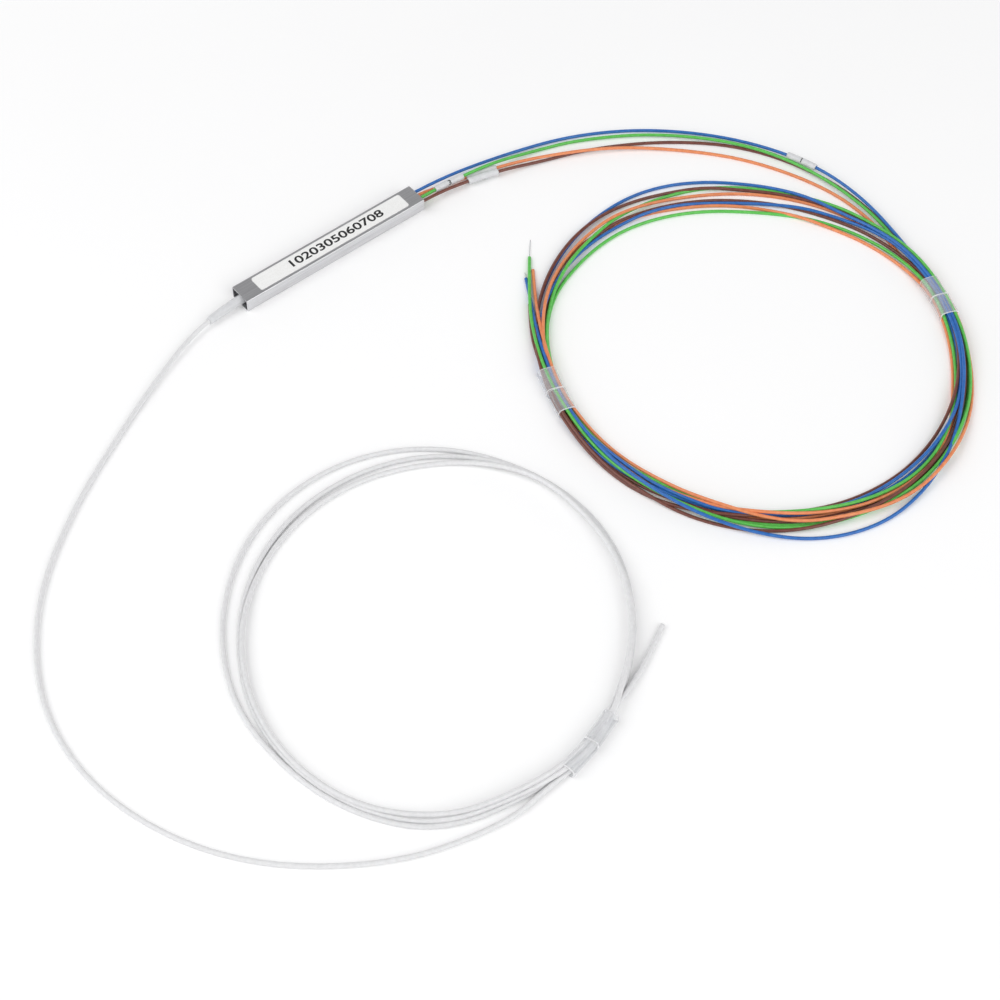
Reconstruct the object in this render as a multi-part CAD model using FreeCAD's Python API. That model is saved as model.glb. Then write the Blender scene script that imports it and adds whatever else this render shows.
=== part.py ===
import FreeCAD, Part
import math
import os

# 1x4 planar lightwave (PLC) fibre splitter in a steel tube housing, lying on a flat surface.
# X runs along the housing, from the input end (-X) to the output end (+X). Z is up. The origin
# is at the centre of the housing's underside, and everything is in millimetres.

# ---- Driving dimensions -------------------------------------------------------------------

# Steel tube housing
HOUSING_LENGTH = 60.0
HOUSING_WIDTH = 7.0
HOUSING_HEIGHT = 4.0
HOUSING_WALL = 0.3
HOUSING_EDGE_RADIUS = 0.25

# Paper label on the top face, a little nearer to the output end, with the margins left round it
LABEL_OUTPUT_MARGIN = 4.4
LABEL_INPUT_MARGIN = 5.5
LABEL_SIDE_MARGIN = 0.9
LABEL_THICKNESS = 0.1
LABEL_CORNER_RADIUS = 0.7

# Optical fibre, ribbon and loose tubes
GLASS_DIAMETER = 0.125
COATING_DIAMETER = 0.24
FIBRE_GAP = 0.01
OUTPUT_COUNT = 4
RIBBON_EDGE = 0.06
OUTPUT_TUBE_DIAMETER = 0.9
INPUT_TUBE_DIAMETER = 1.3
OUTPUT_TUBE_PITCH = 1.4

# Splitter chip with a fibre array bonded to each end
CHIP_LENGTH = 12.0
CHIP_WIDTH = 2.4
CHIP_THICKNESS = 1.0
CHIP_LID_LENGTH = 3.0
LID_THICKNESS = 1.0
ARRAY_GROOVE_LENGTH = 4.0
ARRAY_LEDGE_LENGTH = 2.0
GROOVE_HALF_ANGLE = 30.0
GLUE_FILM = 0.01
CHIP_CENTRE_X = -3.0

# Ribbon and fan-out of the four output fibres
RIBBON_START_GAP = 0.3
RIBBON_LENGTH = 6.2
FAN_STRAIGHT = 3.0

# Silicone bed under the chip, and the resin plugs at both ends of the housing
BED_END_MARGIN = 1.0
BED_WIDTH = 5.0
BED_EDGE_RADIUS = 0.3
INPUT_PLUG_RECESS = 1.5
OUTPUT_PLUG_RECESS = 0.8
INPUT_PLUG_LENGTH = 5.2
OUTPUT_PLUG_LENGTH = 4.8
OUTPUT_TUBE_DEPTH = 4.0

# Marker sleeves on the tubes, with the clearance round the tube inside
INPUT_SLEEVE_LENGTH = 13.5
INPUT_SLEEVE_CLEARANCE = 0.4
MARKER_LENGTH = 9.2
MARKER_CLEARANCE = 0.2
SLEEVE_WALL = 0.3

# Coils, and the clear bands of split tube that hold their turns together
BAND_WALL = 0.35
BAND_CLEARANCE = 0.05
BAND_EDGE_RADIUS = 0.6
BAND_SEAM = 0.25
BAND_BEND_RADIUS = 54.0
OUTPUT_TURNS_ACROSS = 4
OUTPUT_TURNS_HIGH = 3
INPUT_TURNS_ACROSS = 2
INPUT_TURNS_HIGH = 2
BUNDLE_SIDE_SLACK = 0.75
BUNDLE_TOP_SLACK = 0.1
OUTPUT_BAND_LENGTH = 15.0
INPUT_BAND_LENGTH = 18.5
BUNDLE_OVERHANG = 1.5

# ---- Places worked out from them ----------------------------------------------------------

LABEL_LENGTH = HOUSING_LENGTH - LABEL_OUTPUT_MARGIN - LABEL_INPUT_MARGIN
LABEL_WIDTH = HOUSING_WIDTH - 2 * LABEL_SIDE_MARGIN
FIBRE_PITCH = COATING_DIAMETER + FIBRE_GAP
OPTICAL_AXIS_Z = HOUSING_HEIGHT / 2
JOINT_PLANE_Z = OPTICAL_AXIS_Z + GLASS_DIAMETER / 2
CHIP_UNDERSIDE_Z = JOINT_PLANE_Z - CHIP_THICKNESS
CHIP_INPUT_X = CHIP_CENTRE_X - CHIP_LENGTH / 2
CHIP_OUTPUT_X = CHIP_CENTRE_X + CHIP_LENGTH / 2
ARRAY_LENGTH = ARRAY_GROOVE_LENGTH + ARRAY_LEDGE_LENGTH
BED_LENGTH = CHIP_LENGTH + 2 * ARRAY_LENGTH - 2 * BED_END_MARGIN
RIBBON_START_X = CHIP_OUTPUT_X + ARRAY_GROOVE_LENGTH + RIBBON_START_GAP
RIBBON_END_X = RIBBON_START_X + RIBBON_LENGTH
FAN_START_X = RIBBON_END_X + FAN_STRAIGHT
INPUT_PLUG_FACE_X = -HOUSING_LENGTH / 2 + INPUT_PLUG_RECESS
INPUT_TUBE_START_X = INPUT_PLUG_FACE_X + INPUT_PLUG_LENGTH
OUTPUT_TUBE_START_X = HOUSING_LENGTH / 2 - OUTPUT_TUBE_DEPTH
FAN_END_X = OUTPUT_TUBE_START_X - FAN_STRAIGHT
OUTPUT_PLUG_FACE_X = HOUSING_LENGTH / 2 - OUTPUT_PLUG_RECESS
MARKER_DIAMETER = OUTPUT_TUBE_DIAMETER + 2 * (MARKER_CLEARANCE + SLEEVE_WALL)
INPUT_SLEEVE_DIAMETER = INPUT_TUBE_DIAMETER + 2 * (INPUT_SLEEVE_CLEARANCE + SLEEVE_WALL)
OUTPUT_BUNDLE_WIDTH = OUTPUT_TURNS_ACROSS * OUTPUT_TUBE_DIAMETER + BUNDLE_SIDE_SLACK
OUTPUT_BUNDLE_HEIGHT = OUTPUT_TURNS_HIGH * OUTPUT_TUBE_DIAMETER + BUNDLE_TOP_SLACK
INPUT_BUNDLE_WIDTH = INPUT_TURNS_ACROSS * INPUT_TUBE_DIAMETER + BUNDLE_SIDE_SLACK
INPUT_BUNDLE_HEIGHT = INPUT_TURNS_HIGH * INPUT_TUBE_DIAMETER + BUNDLE_TOP_SLACK
BAND_SKIN = BAND_WALL + BAND_CLEARANCE

# Output tubes from the back (+Y) to the front: port 1 blue, 2 orange, 3 green, 4 brown.
PORT_COLOURS = ["blue", "orange", "green", "brown"]
OUTPUT_TUBE_Y = [OUTPUT_TUBE_PITCH * ((OUTPUT_COUNT - 1) / 2 - port) for port in range(OUTPUT_COUNT)]
FIBRE_Y = [FIBRE_PITCH * ((OUTPUT_COUNT - 1) / 2 - port) for port in range(OUTPUT_COUNT)]

# ---- Routes of the loose tubes, where they aren't coiled ----------------------------------
# Each tube runs straight out of its resin plug, and FIRST_BENDS says how far beyond the housing's
# end its first bend is. The points after it are x, measured from that end of the housing, y, and
# height in tube diameters: 0.5 lies on the surface below, and 1.5 lies on top of such a tube.

FIRST_BENDS = {"blue": 8.0, "orange": 2.0, "green": 5.5, "brown": 4.5, "white": 5.0}

LEAD_ROUTES = {
    "blue": [
        (29.5, -1.0, 0.89), (51.0, -7.3, 0.5), (70.1, -19.5, 0.5), (85.5, -37.7, 1.33),
        (94.7, -58.6, 2.44), (97.1, -77.8, 2.0), (92.9, -99.0, 2.56),
    ],
    "orange": [
        (8.6, 0.4, 0.56), (15.5, -1.5, 1.0), (25.0, -3.9, 1.11), (36.9, -8.9, 1.94),
        (55.2, -18.2, 1.67), (71.1, -31.1, 0.5), (83.8, -46.9, 0.5), (92.6, -67.6, 0.5),
        (93.9, -84.5, 0.5), (90.6, -98.0, 0.5),
    ],
    "green": [
        (15.0, -1.75, 2.67), (24.5, -3.0, 2.72), (36.0, -4.6, 0.56), (51.3, -9.8, 0.5), (69.8, -22.4, 1.22),
        (85.8, -41.2, 1.78), (93.8, -60.8, 1.56), (95.4, -83.1, 1.61), (91.7, -99.0, 1.94),
    ],
    "brown": [
        (15.0, -3.55, 1.83), (26.0, -6.3, 1.67), (38.0, -10.1, 0.5), (51.5, -14.7, 0.5), (70.5, -26.1, 0.5),
        (86.6, -42.2, 0.5), (95.4, -64.0, 0.5), (96.4, -83.5, 0.5), (92.9, -99.0, 0.5),
    ],
    "white": [
        (-19.5, -2.4, 1.04), (-45.3, -14.7, 0.5), (-74.1, -31.1, 0.5), (-96.9, -50.6, 0.5),
        (-111.1, -77.4, 0.5), (-111.5, -106.8, 0.5), (-98.1, -136.8, 0.5), (-71.2, -159.3, 0.5),
        (-44.0, -167.6, 0.5), (-29.0, -166.2, 0.85),
    ],
}

TAIL_ROUTES = {
    "blue": [(-4.8, -59.4, 1.78), (-0.3, -51.0, 0.5), (4.6, -42.5, 0.5)],
    "orange": [(-2.4, -56.4, 2.33), (2.5, -48.7, 0.5), (8.7, -40.9, 0.5)],
    "green": [(-7.0, -60.9, 3.06), (1.8, -47.4, 1.94), (11.3, -35.8, 0.5)],
    "brown": [(-10.6, -65.4, 2.67), (-5.4, -56.4, 1.33), (-1.1, -50.3, 0.56)],
    "white": [(-4.8, -160.0, 1.46), (8.1, -155.6, 0.5), (19.3, -149.4, 0.5)],
}

# Bare coated fibre that stands out of a cut tube end: its length.
BARE_TIPS = {"blue": 2.2, "green": 6.9}

# Marker sleeves: distance along the lead from its start to the near end of the sleeve.
MARKER_STARTS = {"blue": 119.5, "orange": 20.6, "green": 9.9, "brown": 19.5}

# ---- Coils --------------------------------------------------------------------------------
# A band's place on its coil: direction from the coil's centre, distance from it, and how far
# its heading turns away from square to that direction. Outline points are (direction, outer
# radius, inner radius), listed anticlockwise from one band to the next. The centres are x, from
# the same end of the housing as the coil's tubes, and y.

OUTPUT_COIL_CENTRE = (37.0, -97.0)
OUTPUT_BANDS = [
    {"name": "output_band_right", "angle": -21.0, "radius": 53.7, "skew": 5.0},
    {"name": "output_band_left", "angle": 158.3, "radius": 54.8, "skew": 1.0},
]
OUTPUT_OUTLINE = [
    [
        (-5.0, 56.7, 50.3), (8.0, 57.2, 49.1), (22.0, 56.8, 47.9), (38.0, 57.8, 47.7),
        (55.0, 60.5, 48.1), (75.0, 62.2, 50.1), (90.0, 61.1, 51.7), (105.0, 59.7, 52.5),
        (120.0, 58.5, 53.2), (135.0, 57.7, 53.2),
    ],
    [
        (182.0, 57.3, 51.9), (196.0, 58.4, 52.1), (210.0, 59.9, 53.2), (225.0, 61.6, 54.3),
        (240.0, 64.4, 55.3), (252.0, 66.0, 55.5), (265.0, 65.0, 55.2), (280.0, 62.7, 55.0),
        (295.0, 60.8, 54.6), (310.0, 58.5, 53.2),
    ],
]

INPUT_COIL_CENTRE = (-23.3, -113.3)
INPUT_BANDS = [{"name": "input_band", "angle": -81.5, "radius": 51.3, "skew": 6.0}]
INPUT_OUTLINE = [
    [
        (-57.0, 49.9, 48.0), (-42.0, 49.9, 47.9), (-28.0, 49.9, 47.6), (-14.0, 50.7, 47.3),
        (0.0, 51.3, 48.0), (20.0, 51.8, 48.9), (40.0, 52.8, 48.0), (60.0, 53.8, 46.5),
        (80.0, 54.1, 45.3), (100.0, 53.4, 44.5), (120.0, 52.1, 44.0), (140.0, 51.4, 44.2),
        (160.0, 51.4, 45.7), (180.0, 52.1, 47.7), (200.0, 53.5, 50.3), (215.0, 55.3, 52.0),
        (230.0, 56.5, 52.6), (245.0, 55.6, 52.4),
    ],
]


# ---- Helpers ------------------------------------------------------------------------------

def vec(x, y, z):
    return FreeCAD.Vector(x, y, z)


def block(x_low, x_high, width, z_low, z_high):
    """A box centred on the housing's long axis."""
    return Part.makeBox(x_high - x_low, width, z_high - z_low, vec(x_low, -width / 2, z_low))


def rounded_rectangle(width, height, radius, centre_y=0.0, centre_z=0.0):
    """A rounded rectangle in the YZ plane, as a face."""
    half_w, half_h = width / 2, height / 2
    edges = []
    corners = [(1, 1, 0.0), (-1, 1, 90.0), (-1, -1, 180.0), (1, -1, 270.0)]
    points = []
    for side_y, side_z, start in corners:
        cy = side_y * (half_w - radius)
        cz = side_z * (half_h - radius)
        arc = [
            vec(0, cy + radius * math.cos(math.radians(a)), cz + radius * math.sin(math.radians(a)))
            for a in (start, start + 45.0, start + 90.0)
        ]
        points.append(arc)
    for index, arc in enumerate(points):
        following = points[(index + 1) % len(points)]
        edges.append(Part.Arc(*arc).toShape())
        edges.append(Part.LineSegment(arc[2], following[0]).toShape())
    face = Part.Face(Part.Wire(edges))
    face.translate(vec(0, centre_y, centre_z))
    return face


def path_edges(points):
    """Straight runs joined by tangent arcs, each as large as its two runs allow."""
    points = [vec(*point) for point in points]
    edges = []
    radii = []
    here = points[0]
    for before, corner, after in zip(points, points[1:], points[2:]):
        run_in = corner - before
        run_out = after - corner
        half_turn = run_in.getAngle(run_out) / 2
        setback = 0.45 * min(run_in.Length, run_out.Length)
        radii.append(setback / math.tan(half_turn))
        way_in = run_in.normalize()
        way_out = run_out.normalize()
        arc_start = corner - way_in * setback
        arc_end = corner + way_out * setback
        to_centre = (way_out - way_in).normalize()
        bulge = radii[-1] / math.cos(half_turn) - radii[-1]
        edges.append(Part.LineSegment(here, arc_start).toShape())
        edges.append(Part.Arc(arc_start, corner + to_centre * bulge, arc_end).toShape())
        here = arc_end
    edges.append(Part.LineSegment(here, points[-1]).toShape())
    return edges, radii


def portion(edges, start, length):
    """The stretch of a path from one distance along it, over a length."""
    kept = []
    position = 0.0
    for edge in edges:
        low = max(start - position, 0.0)
        high = min(start + length - position, edge.Length)
        if high - low > 1e-6:
            ends = [edge.getParameterByLength(low), edge.getParameterByLength(high)]
            kept.append(edge.Curve.toShape(*ends))
        position += edge.Length
    return kept


def rod_along(edges, diameter):
    """A round rod along a path."""
    start = edges[0].valueAt(edges[0].FirstParameter)
    heading = edges[0].tangentAt(edges[0].FirstParameter)
    section = Part.Wire(Part.Circle(start, heading, diameter / 2).toShape())
    return Part.Wire(edges).makePipeShell([section], True, False)


def sleeve_along(edges, diameter, wall):
    """An open round sleeve along a path."""
    return rod_along(edges, diameter).cut(rod_along(edges, diameter - 2 * wall))


def rod_x(x_low, x_high, y, diameter):
    """A round rod along X at the height of the optical axis."""
    return Part.makeCylinder(diameter / 2, x_high - x_low, vec(x_low, y, OPTICAL_AXIS_Z), vec(1, 0, 0))


def tube_facts(colour):
    """Which end of the housing a tube belongs to, as the start of its nodes' names, and its diameter."""
    if colour == "white":
        return "input", INPUT_TUBE_DIAMETER
    return f"output_{PORT_COLOURS.index(colour) + 1}", OUTPUT_TUBE_DIAMETER


def routed(colour, points):
    """Route points in the part's own frame, with their heights in millimetres."""
    mouth = -HOUSING_LENGTH / 2 if colour == "white" else HOUSING_LENGTH / 2
    diameter = tube_facts(colour)[1]
    return [(mouth + x, y, diameter * height) for x, y, height in points]


def lead_points(colour):
    """A lead's route: from inside its resin plug straight out of the housing, then its own points."""
    if colour == "white":
        start = (INPUT_TUBE_START_X, 0.0, OPTICAL_AXIS_Z)
        bend = (-HOUSING_LENGTH / 2 - FIRST_BENDS[colour], 0.0, OPTICAL_AXIS_Z)
    else:
        y = OUTPUT_TUBE_Y[PORT_COLOURS.index(colour)]
        start = (OUTPUT_TUBE_START_X, y, OPTICAL_AXIS_Z)
        bend = (HOUSING_LENGTH / 2 + FIRST_BENDS[colour], y, OPTICAL_AXIS_Z)
    return [start, bend] + routed(colour, LEAD_ROUTES[colour])


def tail_points(colour):
    return routed(colour, TAIL_ROUTES[colour])


# ---- Housing, label, resin plugs and silicone bed -----------------------------------------

def tube_bore():
    """Section of the housing's bore."""
    return rounded_rectangle(
        HOUSING_WIDTH - 2 * HOUSING_WALL,
        HOUSING_HEIGHT - 2 * HOUSING_WALL,
        HOUSING_EDGE_RADIUS - HOUSING_WALL / 2,
        centre_z=HOUSING_HEIGHT / 2,
    )


def housing_tube():
    outer = rounded_rectangle(
        HOUSING_WIDTH, HOUSING_HEIGHT, HOUSING_EDGE_RADIUS, centre_z=HOUSING_HEIGHT / 2
    )
    tube = outer.cut(tube_bore()).extrude(vec(HOUSING_LENGTH, 0, 0))
    tube.translate(vec(-HOUSING_LENGTH / 2, 0, 0))
    return tube


def label():
    sheet = Part.makeBox(
        LABEL_LENGTH,
        LABEL_WIDTH,
        LABEL_THICKNESS,
        vec(-HOUSING_LENGTH / 2 + LABEL_INPUT_MARGIN, -LABEL_WIDTH / 2, HOUSING_HEIGHT),
    )
    upright = [edge for edge in sheet.Edges if abs(edge.BoundBox.ZLength - LABEL_THICKNESS) < 1e-6]
    return sheet.makeFillet(LABEL_CORNER_RADIUS, upright)


def plug(x_low, x_high, passing):
    """A resin plug that fills the bore between two places, around what passes through it."""
    body = tube_bore().extrude(vec(x_high - x_low, 0, 0))
    body.translate(vec(x_low, 0, 0))
    for piece in passing:
        body = body.cut(piece)
    return body


def chip_bed():
    """Silicone bed from the bore's floor up to the underside of the chip and its arrays."""
    bed = block(
        CHIP_CENTRE_X - BED_LENGTH / 2,
        CHIP_CENTRE_X + BED_LENGTH / 2,
        BED_WIDTH,
        HOUSING_WALL,
        CHIP_UNDERSIDE_Z,
    )
    upright = [edge for edge in bed.Edges if edge.BoundBox.ZLength > BED_EDGE_RADIUS]
    return bed.makeFillet(BED_EDGE_RADIUS, upright)


# ---- Splitter chip and fibre arrays -------------------------------------------------------

def groove(x_low, x_high, y):
    """A V groove in which a bare glass fibre lies with its top at the joint plane."""
    reach = GLASS_DIAMETER / 2 + GLUE_FILM
    depth = GLASS_DIAMETER / 2 + reach / math.sin(math.radians(GROOVE_HALF_ANGLE))
    half_width = depth * math.tan(math.radians(GROOVE_HALF_ANGLE))
    corners = [
        vec(x_low, y - half_width, JOINT_PLANE_Z),
        vec(x_low, y + half_width, JOINT_PLANE_Z),
        vec(x_low, y, JOINT_PLANE_Z - depth),
    ]
    face = Part.Face(Part.makePolygon(corners + corners[:1]))
    return face.extrude(vec(x_high - x_low, 0, 0))


def array_base(chip_face_x, outward, fibre_places, held_thickness):
    """Glass block with V grooves next to the chip and a lowered ledge for what the fibres wear."""
    groove_end = chip_face_x + outward * ARRAY_GROOVE_LENGTH
    ledge_end = chip_face_x + outward * ARRAY_LENGTH
    ledge_z = OPTICAL_AXIS_Z - held_thickness / 2 - GLUE_FILM
    front = sorted([chip_face_x, groove_end])
    back = sorted([groove_end, ledge_end])
    base = block(*front, CHIP_WIDTH, CHIP_UNDERSIDE_Z, JOINT_PLANE_Z)
    base = base.fuse(block(*back, CHIP_WIDTH, CHIP_UNDERSIDE_Z, ledge_z)).removeSplitter()
    for y in fibre_places:
        base = base.cut(groove(*front, y))
    return base


def array_lid(chip_face_x, outward):
    """Flat glass lid that presses the fibres into their grooves."""
    span = sorted([chip_face_x, chip_face_x + outward * ARRAY_GROOVE_LENGTH])
    return block(*span, CHIP_WIDTH, JOINT_PLANE_Z, JOINT_PLANE_Z + LID_THICKNESS)


def chip_lid(x_low):
    return block(
        x_low, x_low + CHIP_LID_LENGTH, CHIP_WIDTH, JOINT_PLANE_Z, JOINT_PLANE_Z + LID_THICKNESS
    )


def input_fibre():
    """Bare glass in its groove, then coated fibre back to the input tube."""
    groove_end = CHIP_INPUT_X - ARRAY_GROOVE_LENGTH
    glass = rod_x(groove_end, CHIP_INPUT_X, 0, GLASS_DIAMETER)
    return glass.fuse(rod_x(INPUT_TUBE_START_X, groove_end, 0, COATING_DIAMETER))


def output_fibre(port):
    """Bare glass in its groove, then coated fibre through the ribbon and out to its own tube."""
    groove_end = CHIP_OUTPUT_X + ARRAY_GROOVE_LENGTH
    near, far = FIBRE_Y[port], OUTPUT_TUBE_Y[port]
    route = [
        (RIBBON_END_X, near, OPTICAL_AXIS_Z),
        (FAN_START_X, near, OPTICAL_AXIS_Z),
        (FAN_END_X, far, OPTICAL_AXIS_Z),
        (OUTPUT_TUBE_START_X, far, OPTICAL_AXIS_Z),
    ]
    glass = rod_x(CHIP_OUTPUT_X, groove_end, near, GLASS_DIAMETER)
    coated = rod_x(groove_end, RIBBON_END_X, near, COATING_DIAMETER)
    fan = rod_along(path_edges(route)[0], COATING_DIAMETER)
    return glass.fuse([coated, fan]).removeSplitter()


def ribbon_matrix(fibres):
    """Flat resin matrix that keeps the four coated fibres side by side."""
    width = OUTPUT_COUNT * FIBRE_PITCH + 2 * RIBBON_EDGE
    thickness = COATING_DIAMETER + 2 * RIBBON_EDGE
    body = rounded_rectangle(width, thickness, 0.45 * thickness, centre_z=OPTICAL_AXIS_Z)
    body = body.extrude(vec(RIBBON_LENGTH, 0, 0))
    body.translate(vec(RIBBON_START_X, 0, 0))
    for fibre in fibres:
        body = body.cut(fibre)
    return body


# ---- Coils and bands ----------------------------------------------------------------------

def polar(centre, degrees, radius, z=0.0):
    angle = math.radians(degrees)
    return vec(centre[0] + radius * math.cos(angle), centre[1] + radius * math.sin(angle), z)


def bend_centre(coil_centre, band):
    """Centre of the arc that a band and its tight stretch of coil follow, and its direction."""
    middle = polar(coil_centre, band["angle"], band["radius"])
    facing = band["angle"] + band["skew"]
    return polar((middle.x, middle.y), facing + 180.0, BAND_BEND_RADIUS), facing


def tight_arc(coil_centre, band, offset, half_span, z):
    """Arc of one side of the tight stretch that a band holds."""
    centre, facing = bend_centre(coil_centre, band)
    around = (centre.x, centre.y)
    places = [polar(around, facing + step * half_span, BAND_BEND_RADIUS + offset, z) for step in (-1, 0, 1)]
    return Part.Arc(*places).toShape()


def outline(coil_centre, bands, free_points, side, offset, half_span, z):
    """Closed outline of a coil: an arc inside each band, and a smooth curve to the next one."""
    arcs = [tight_arc(coil_centre, band, offset, half_span, z) for band in bands]
    edges = []
    for index, arc in enumerate(arcs):
        following = arcs[(index + 1) % len(arcs)]
        places = [polar(coil_centre, point[0], point[side], z) for point in free_points[index]]
        through = [arc.valueAt(arc.LastParameter)] + places + [following.valueAt(following.FirstParameter)]
        curve = Part.BSplineCurve()
        curve.interpolate(
            Points=through,
            InitialTangent=arc.tangentAt(arc.LastParameter),
            FinalTangent=following.tangentAt(following.FirstParameter),
        )
        edges += [arc, curve.toShape()]
    return Part.Face(Part.Wire(edges))


def coil(coil_centre, bands, free_points, width, height, band_length):
    """The outer shape of all turns of a coil: one flat ring, tight in its bands and looser between."""
    half_span = math.degrees((band_length / 2 + BUNDLE_OVERHANG) / BAND_BEND_RADIUS)
    outer = outline(coil_centre, bands, free_points, 1, width / 2, half_span, BAND_SKIN)
    inner = outline(coil_centre, bands, free_points, 2, -width / 2, half_span, BAND_SKIN)
    return outer.extrude(vec(0, 0, height)).cut(inner.extrude(vec(0, 0, height)))


def band(coil_centre, place, width, height, length):
    """Two turns of clear spiral tube round a bundle, open along the seam between the turns."""
    centre, facing = bend_centre(coil_centre, place)
    half_span = math.degrees(length / 2 / BAND_BEND_RADIUS)
    middle_z = BAND_SKIN + height / 2
    skin = rounded_rectangle(
        width + 2 * BAND_SKIN, height + 2 * BAND_SKIN, BAND_EDGE_RADIUS, BAND_BEND_RADIUS, middle_z
    )
    room = Part.makePlane(
        width + 2 * BAND_CLEARANCE,
        height + 2 * BAND_CLEARANCE,
        vec(0, BAND_BEND_RADIUS - width / 2 - BAND_CLEARANCE, BAND_WALL),
        vec(1, 0, 0),
        vec(0, 1, 0),
    )
    seam = Part.makePlane(
        width + 4 * BAND_SKIN,
        height + 2 * BAND_SKIN,
        vec(0, BAND_BEND_RADIUS - width / 2 - 2 * BAND_SKIN, 2 * BAND_SKIN),
        vec(1, 0, 0),
        vec(0, 1, 0),
    )
    turns = skin.cut(room).revolve(vec(0, 0, 0), vec(0, 0, 1), 2 * half_span)
    seam_span = math.degrees(BAND_SEAM / BAND_BEND_RADIUS)
    opening = seam.revolve(vec(0, 0, 0), vec(0, 0, 1), seam_span)
    opening.rotate(vec(0, 0, 0), vec(0, 0, 1), half_span - seam_span / 2)
    shape = turns.cut(opening)
    shape.rotate(vec(0, 0, 0), vec(0, 0, 1), facing - 90.0 - half_span)
    shape.translate(centre)
    return shape


# ---- The whole part -----------------------------------------------------------------------

def build():
    pieces = {"housing_tube": housing_tube(), "label": label(), "chip_bed": chip_bed()}
    pieces["waveguide_chip"] = block(
        CHIP_INPUT_X, CHIP_OUTPUT_X, CHIP_WIDTH, CHIP_UNDERSIDE_Z, JOINT_PLANE_Z
    )
    pieces["chip_lid_input"] = chip_lid(CHIP_INPUT_X)
    pieces["chip_lid_output"] = chip_lid(CHIP_OUTPUT_X - CHIP_LID_LENGTH)

    ribbon_thickness = COATING_DIAMETER + 2 * RIBBON_EDGE
    pieces["input_array_base"] = array_base(CHIP_INPUT_X, -1, [0.0], COATING_DIAMETER)
    pieces["input_array_lid"] = array_lid(CHIP_INPUT_X, -1)
    pieces["output_array_base"] = array_base(CHIP_OUTPUT_X, 1, FIBRE_Y, ribbon_thickness)
    pieces["output_array_lid"] = array_lid(CHIP_OUTPUT_X, 1)

    pieces["input_fibre"] = input_fibre()
    fibres = [output_fibre(port) for port in range(OUTPUT_COUNT)]
    for port, fibre in enumerate(fibres):
        pieces[f"output_fibre_{port + 1}"] = fibre
    pieces["ribbon_matrix"] = ribbon_matrix(fibres)

    leads = {}
    for colour in LEAD_ROUTES:
        end, diameter = tube_facts(colour)
        leads[colour], radii = path_edges(lead_points(colour))
        tail, tail_radii = path_edges(tail_points(colour))
        pieces[f"{end}_lead"] = rod_along(leads[colour], diameter)
        pieces[f"{end}_tail"] = rod_along(tail, diameter)
        for name, edges, bends in (("lead", leads[colour], radii), ("tail", tail, tail_radii)):
            length = sum(edge.Length for edge in edges)
            print(f"{end}_{name}: {length:.1f} mm, arc radii", [round(radius, 1) for radius in bends])
        if colour in BARE_TIPS:
            tip = tail[-1].valueAt(tail[-1].LastParameter)
            heading = tail[-1].tangentAt(tail[-1].LastParameter)
            heading.z = 0
            pieces[f"{end}_bare_tip"] = Part.makeCylinder(
                COATING_DIAMETER / 2, BARE_TIPS[colour], tip, heading
            )

    for port, colour in enumerate(PORT_COLOURS):
        stretch = portion(leads[colour], MARKER_STARTS[colour], MARKER_LENGTH)
        pieces[f"marker_sleeve_{port + 1}"] = sleeve_along(stretch, MARKER_DIAMETER, SLEEVE_WALL)
    stretch = portion(leads["white"], INPUT_PLUG_LENGTH, INPUT_SLEEVE_LENGTH)
    pieces["input_sleeve"] = sleeve_along(stretch, INPUT_SLEEVE_DIAMETER, SLEEVE_WALL)

    passing = [rod_x(INPUT_PLUG_FACE_X, INPUT_TUBE_START_X, 0, INPUT_TUBE_DIAMETER)]
    pieces["input_plug"] = plug(INPUT_PLUG_FACE_X, INPUT_TUBE_START_X, passing)
    passing = [
        rod_x(OUTPUT_TUBE_START_X, OUTPUT_PLUG_FACE_X, y, OUTPUT_TUBE_DIAMETER) for y in OUTPUT_TUBE_Y
    ]
    plug_start = OUTPUT_PLUG_FACE_X - OUTPUT_PLUG_LENGTH
    pieces["output_plug"] = plug(plug_start, OUTPUT_PLUG_FACE_X, passing + fibres)

    output_centre = (HOUSING_LENGTH / 2 + OUTPUT_COIL_CENTRE[0], OUTPUT_COIL_CENTRE[1])
    input_centre = (-HOUSING_LENGTH / 2 + INPUT_COIL_CENTRE[0], INPUT_COIL_CENTRE[1])
    coils = [
        ("output", output_centre, OUTPUT_BANDS, OUTPUT_OUTLINE,
         (OUTPUT_BUNDLE_WIDTH, OUTPUT_BUNDLE_HEIGHT, OUTPUT_BAND_LENGTH)),
        ("input", input_centre, INPUT_BANDS, INPUT_OUTLINE,
         (INPUT_BUNDLE_WIDTH, INPUT_BUNDLE_HEIGHT, INPUT_BAND_LENGTH)),
    ]
    for name, centre, bands, free_points, sizes in coils:
        pieces[f"{name}_coil"] = coil(centre, bands, free_points, *sizes)
        for place in bands:
            pieces[place["name"]] = band(centre, place, *sizes)
    return pieces


os.makedirs("parts", exist_ok=True)
for node, shape in build().items():
    shape.exportStep(f"parts/{node}.step")
    print(node, "valid" if shape.isValid() else "INVALID", len(shape.Solids), round(shape.Volume, 3))
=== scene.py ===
import math

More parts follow.
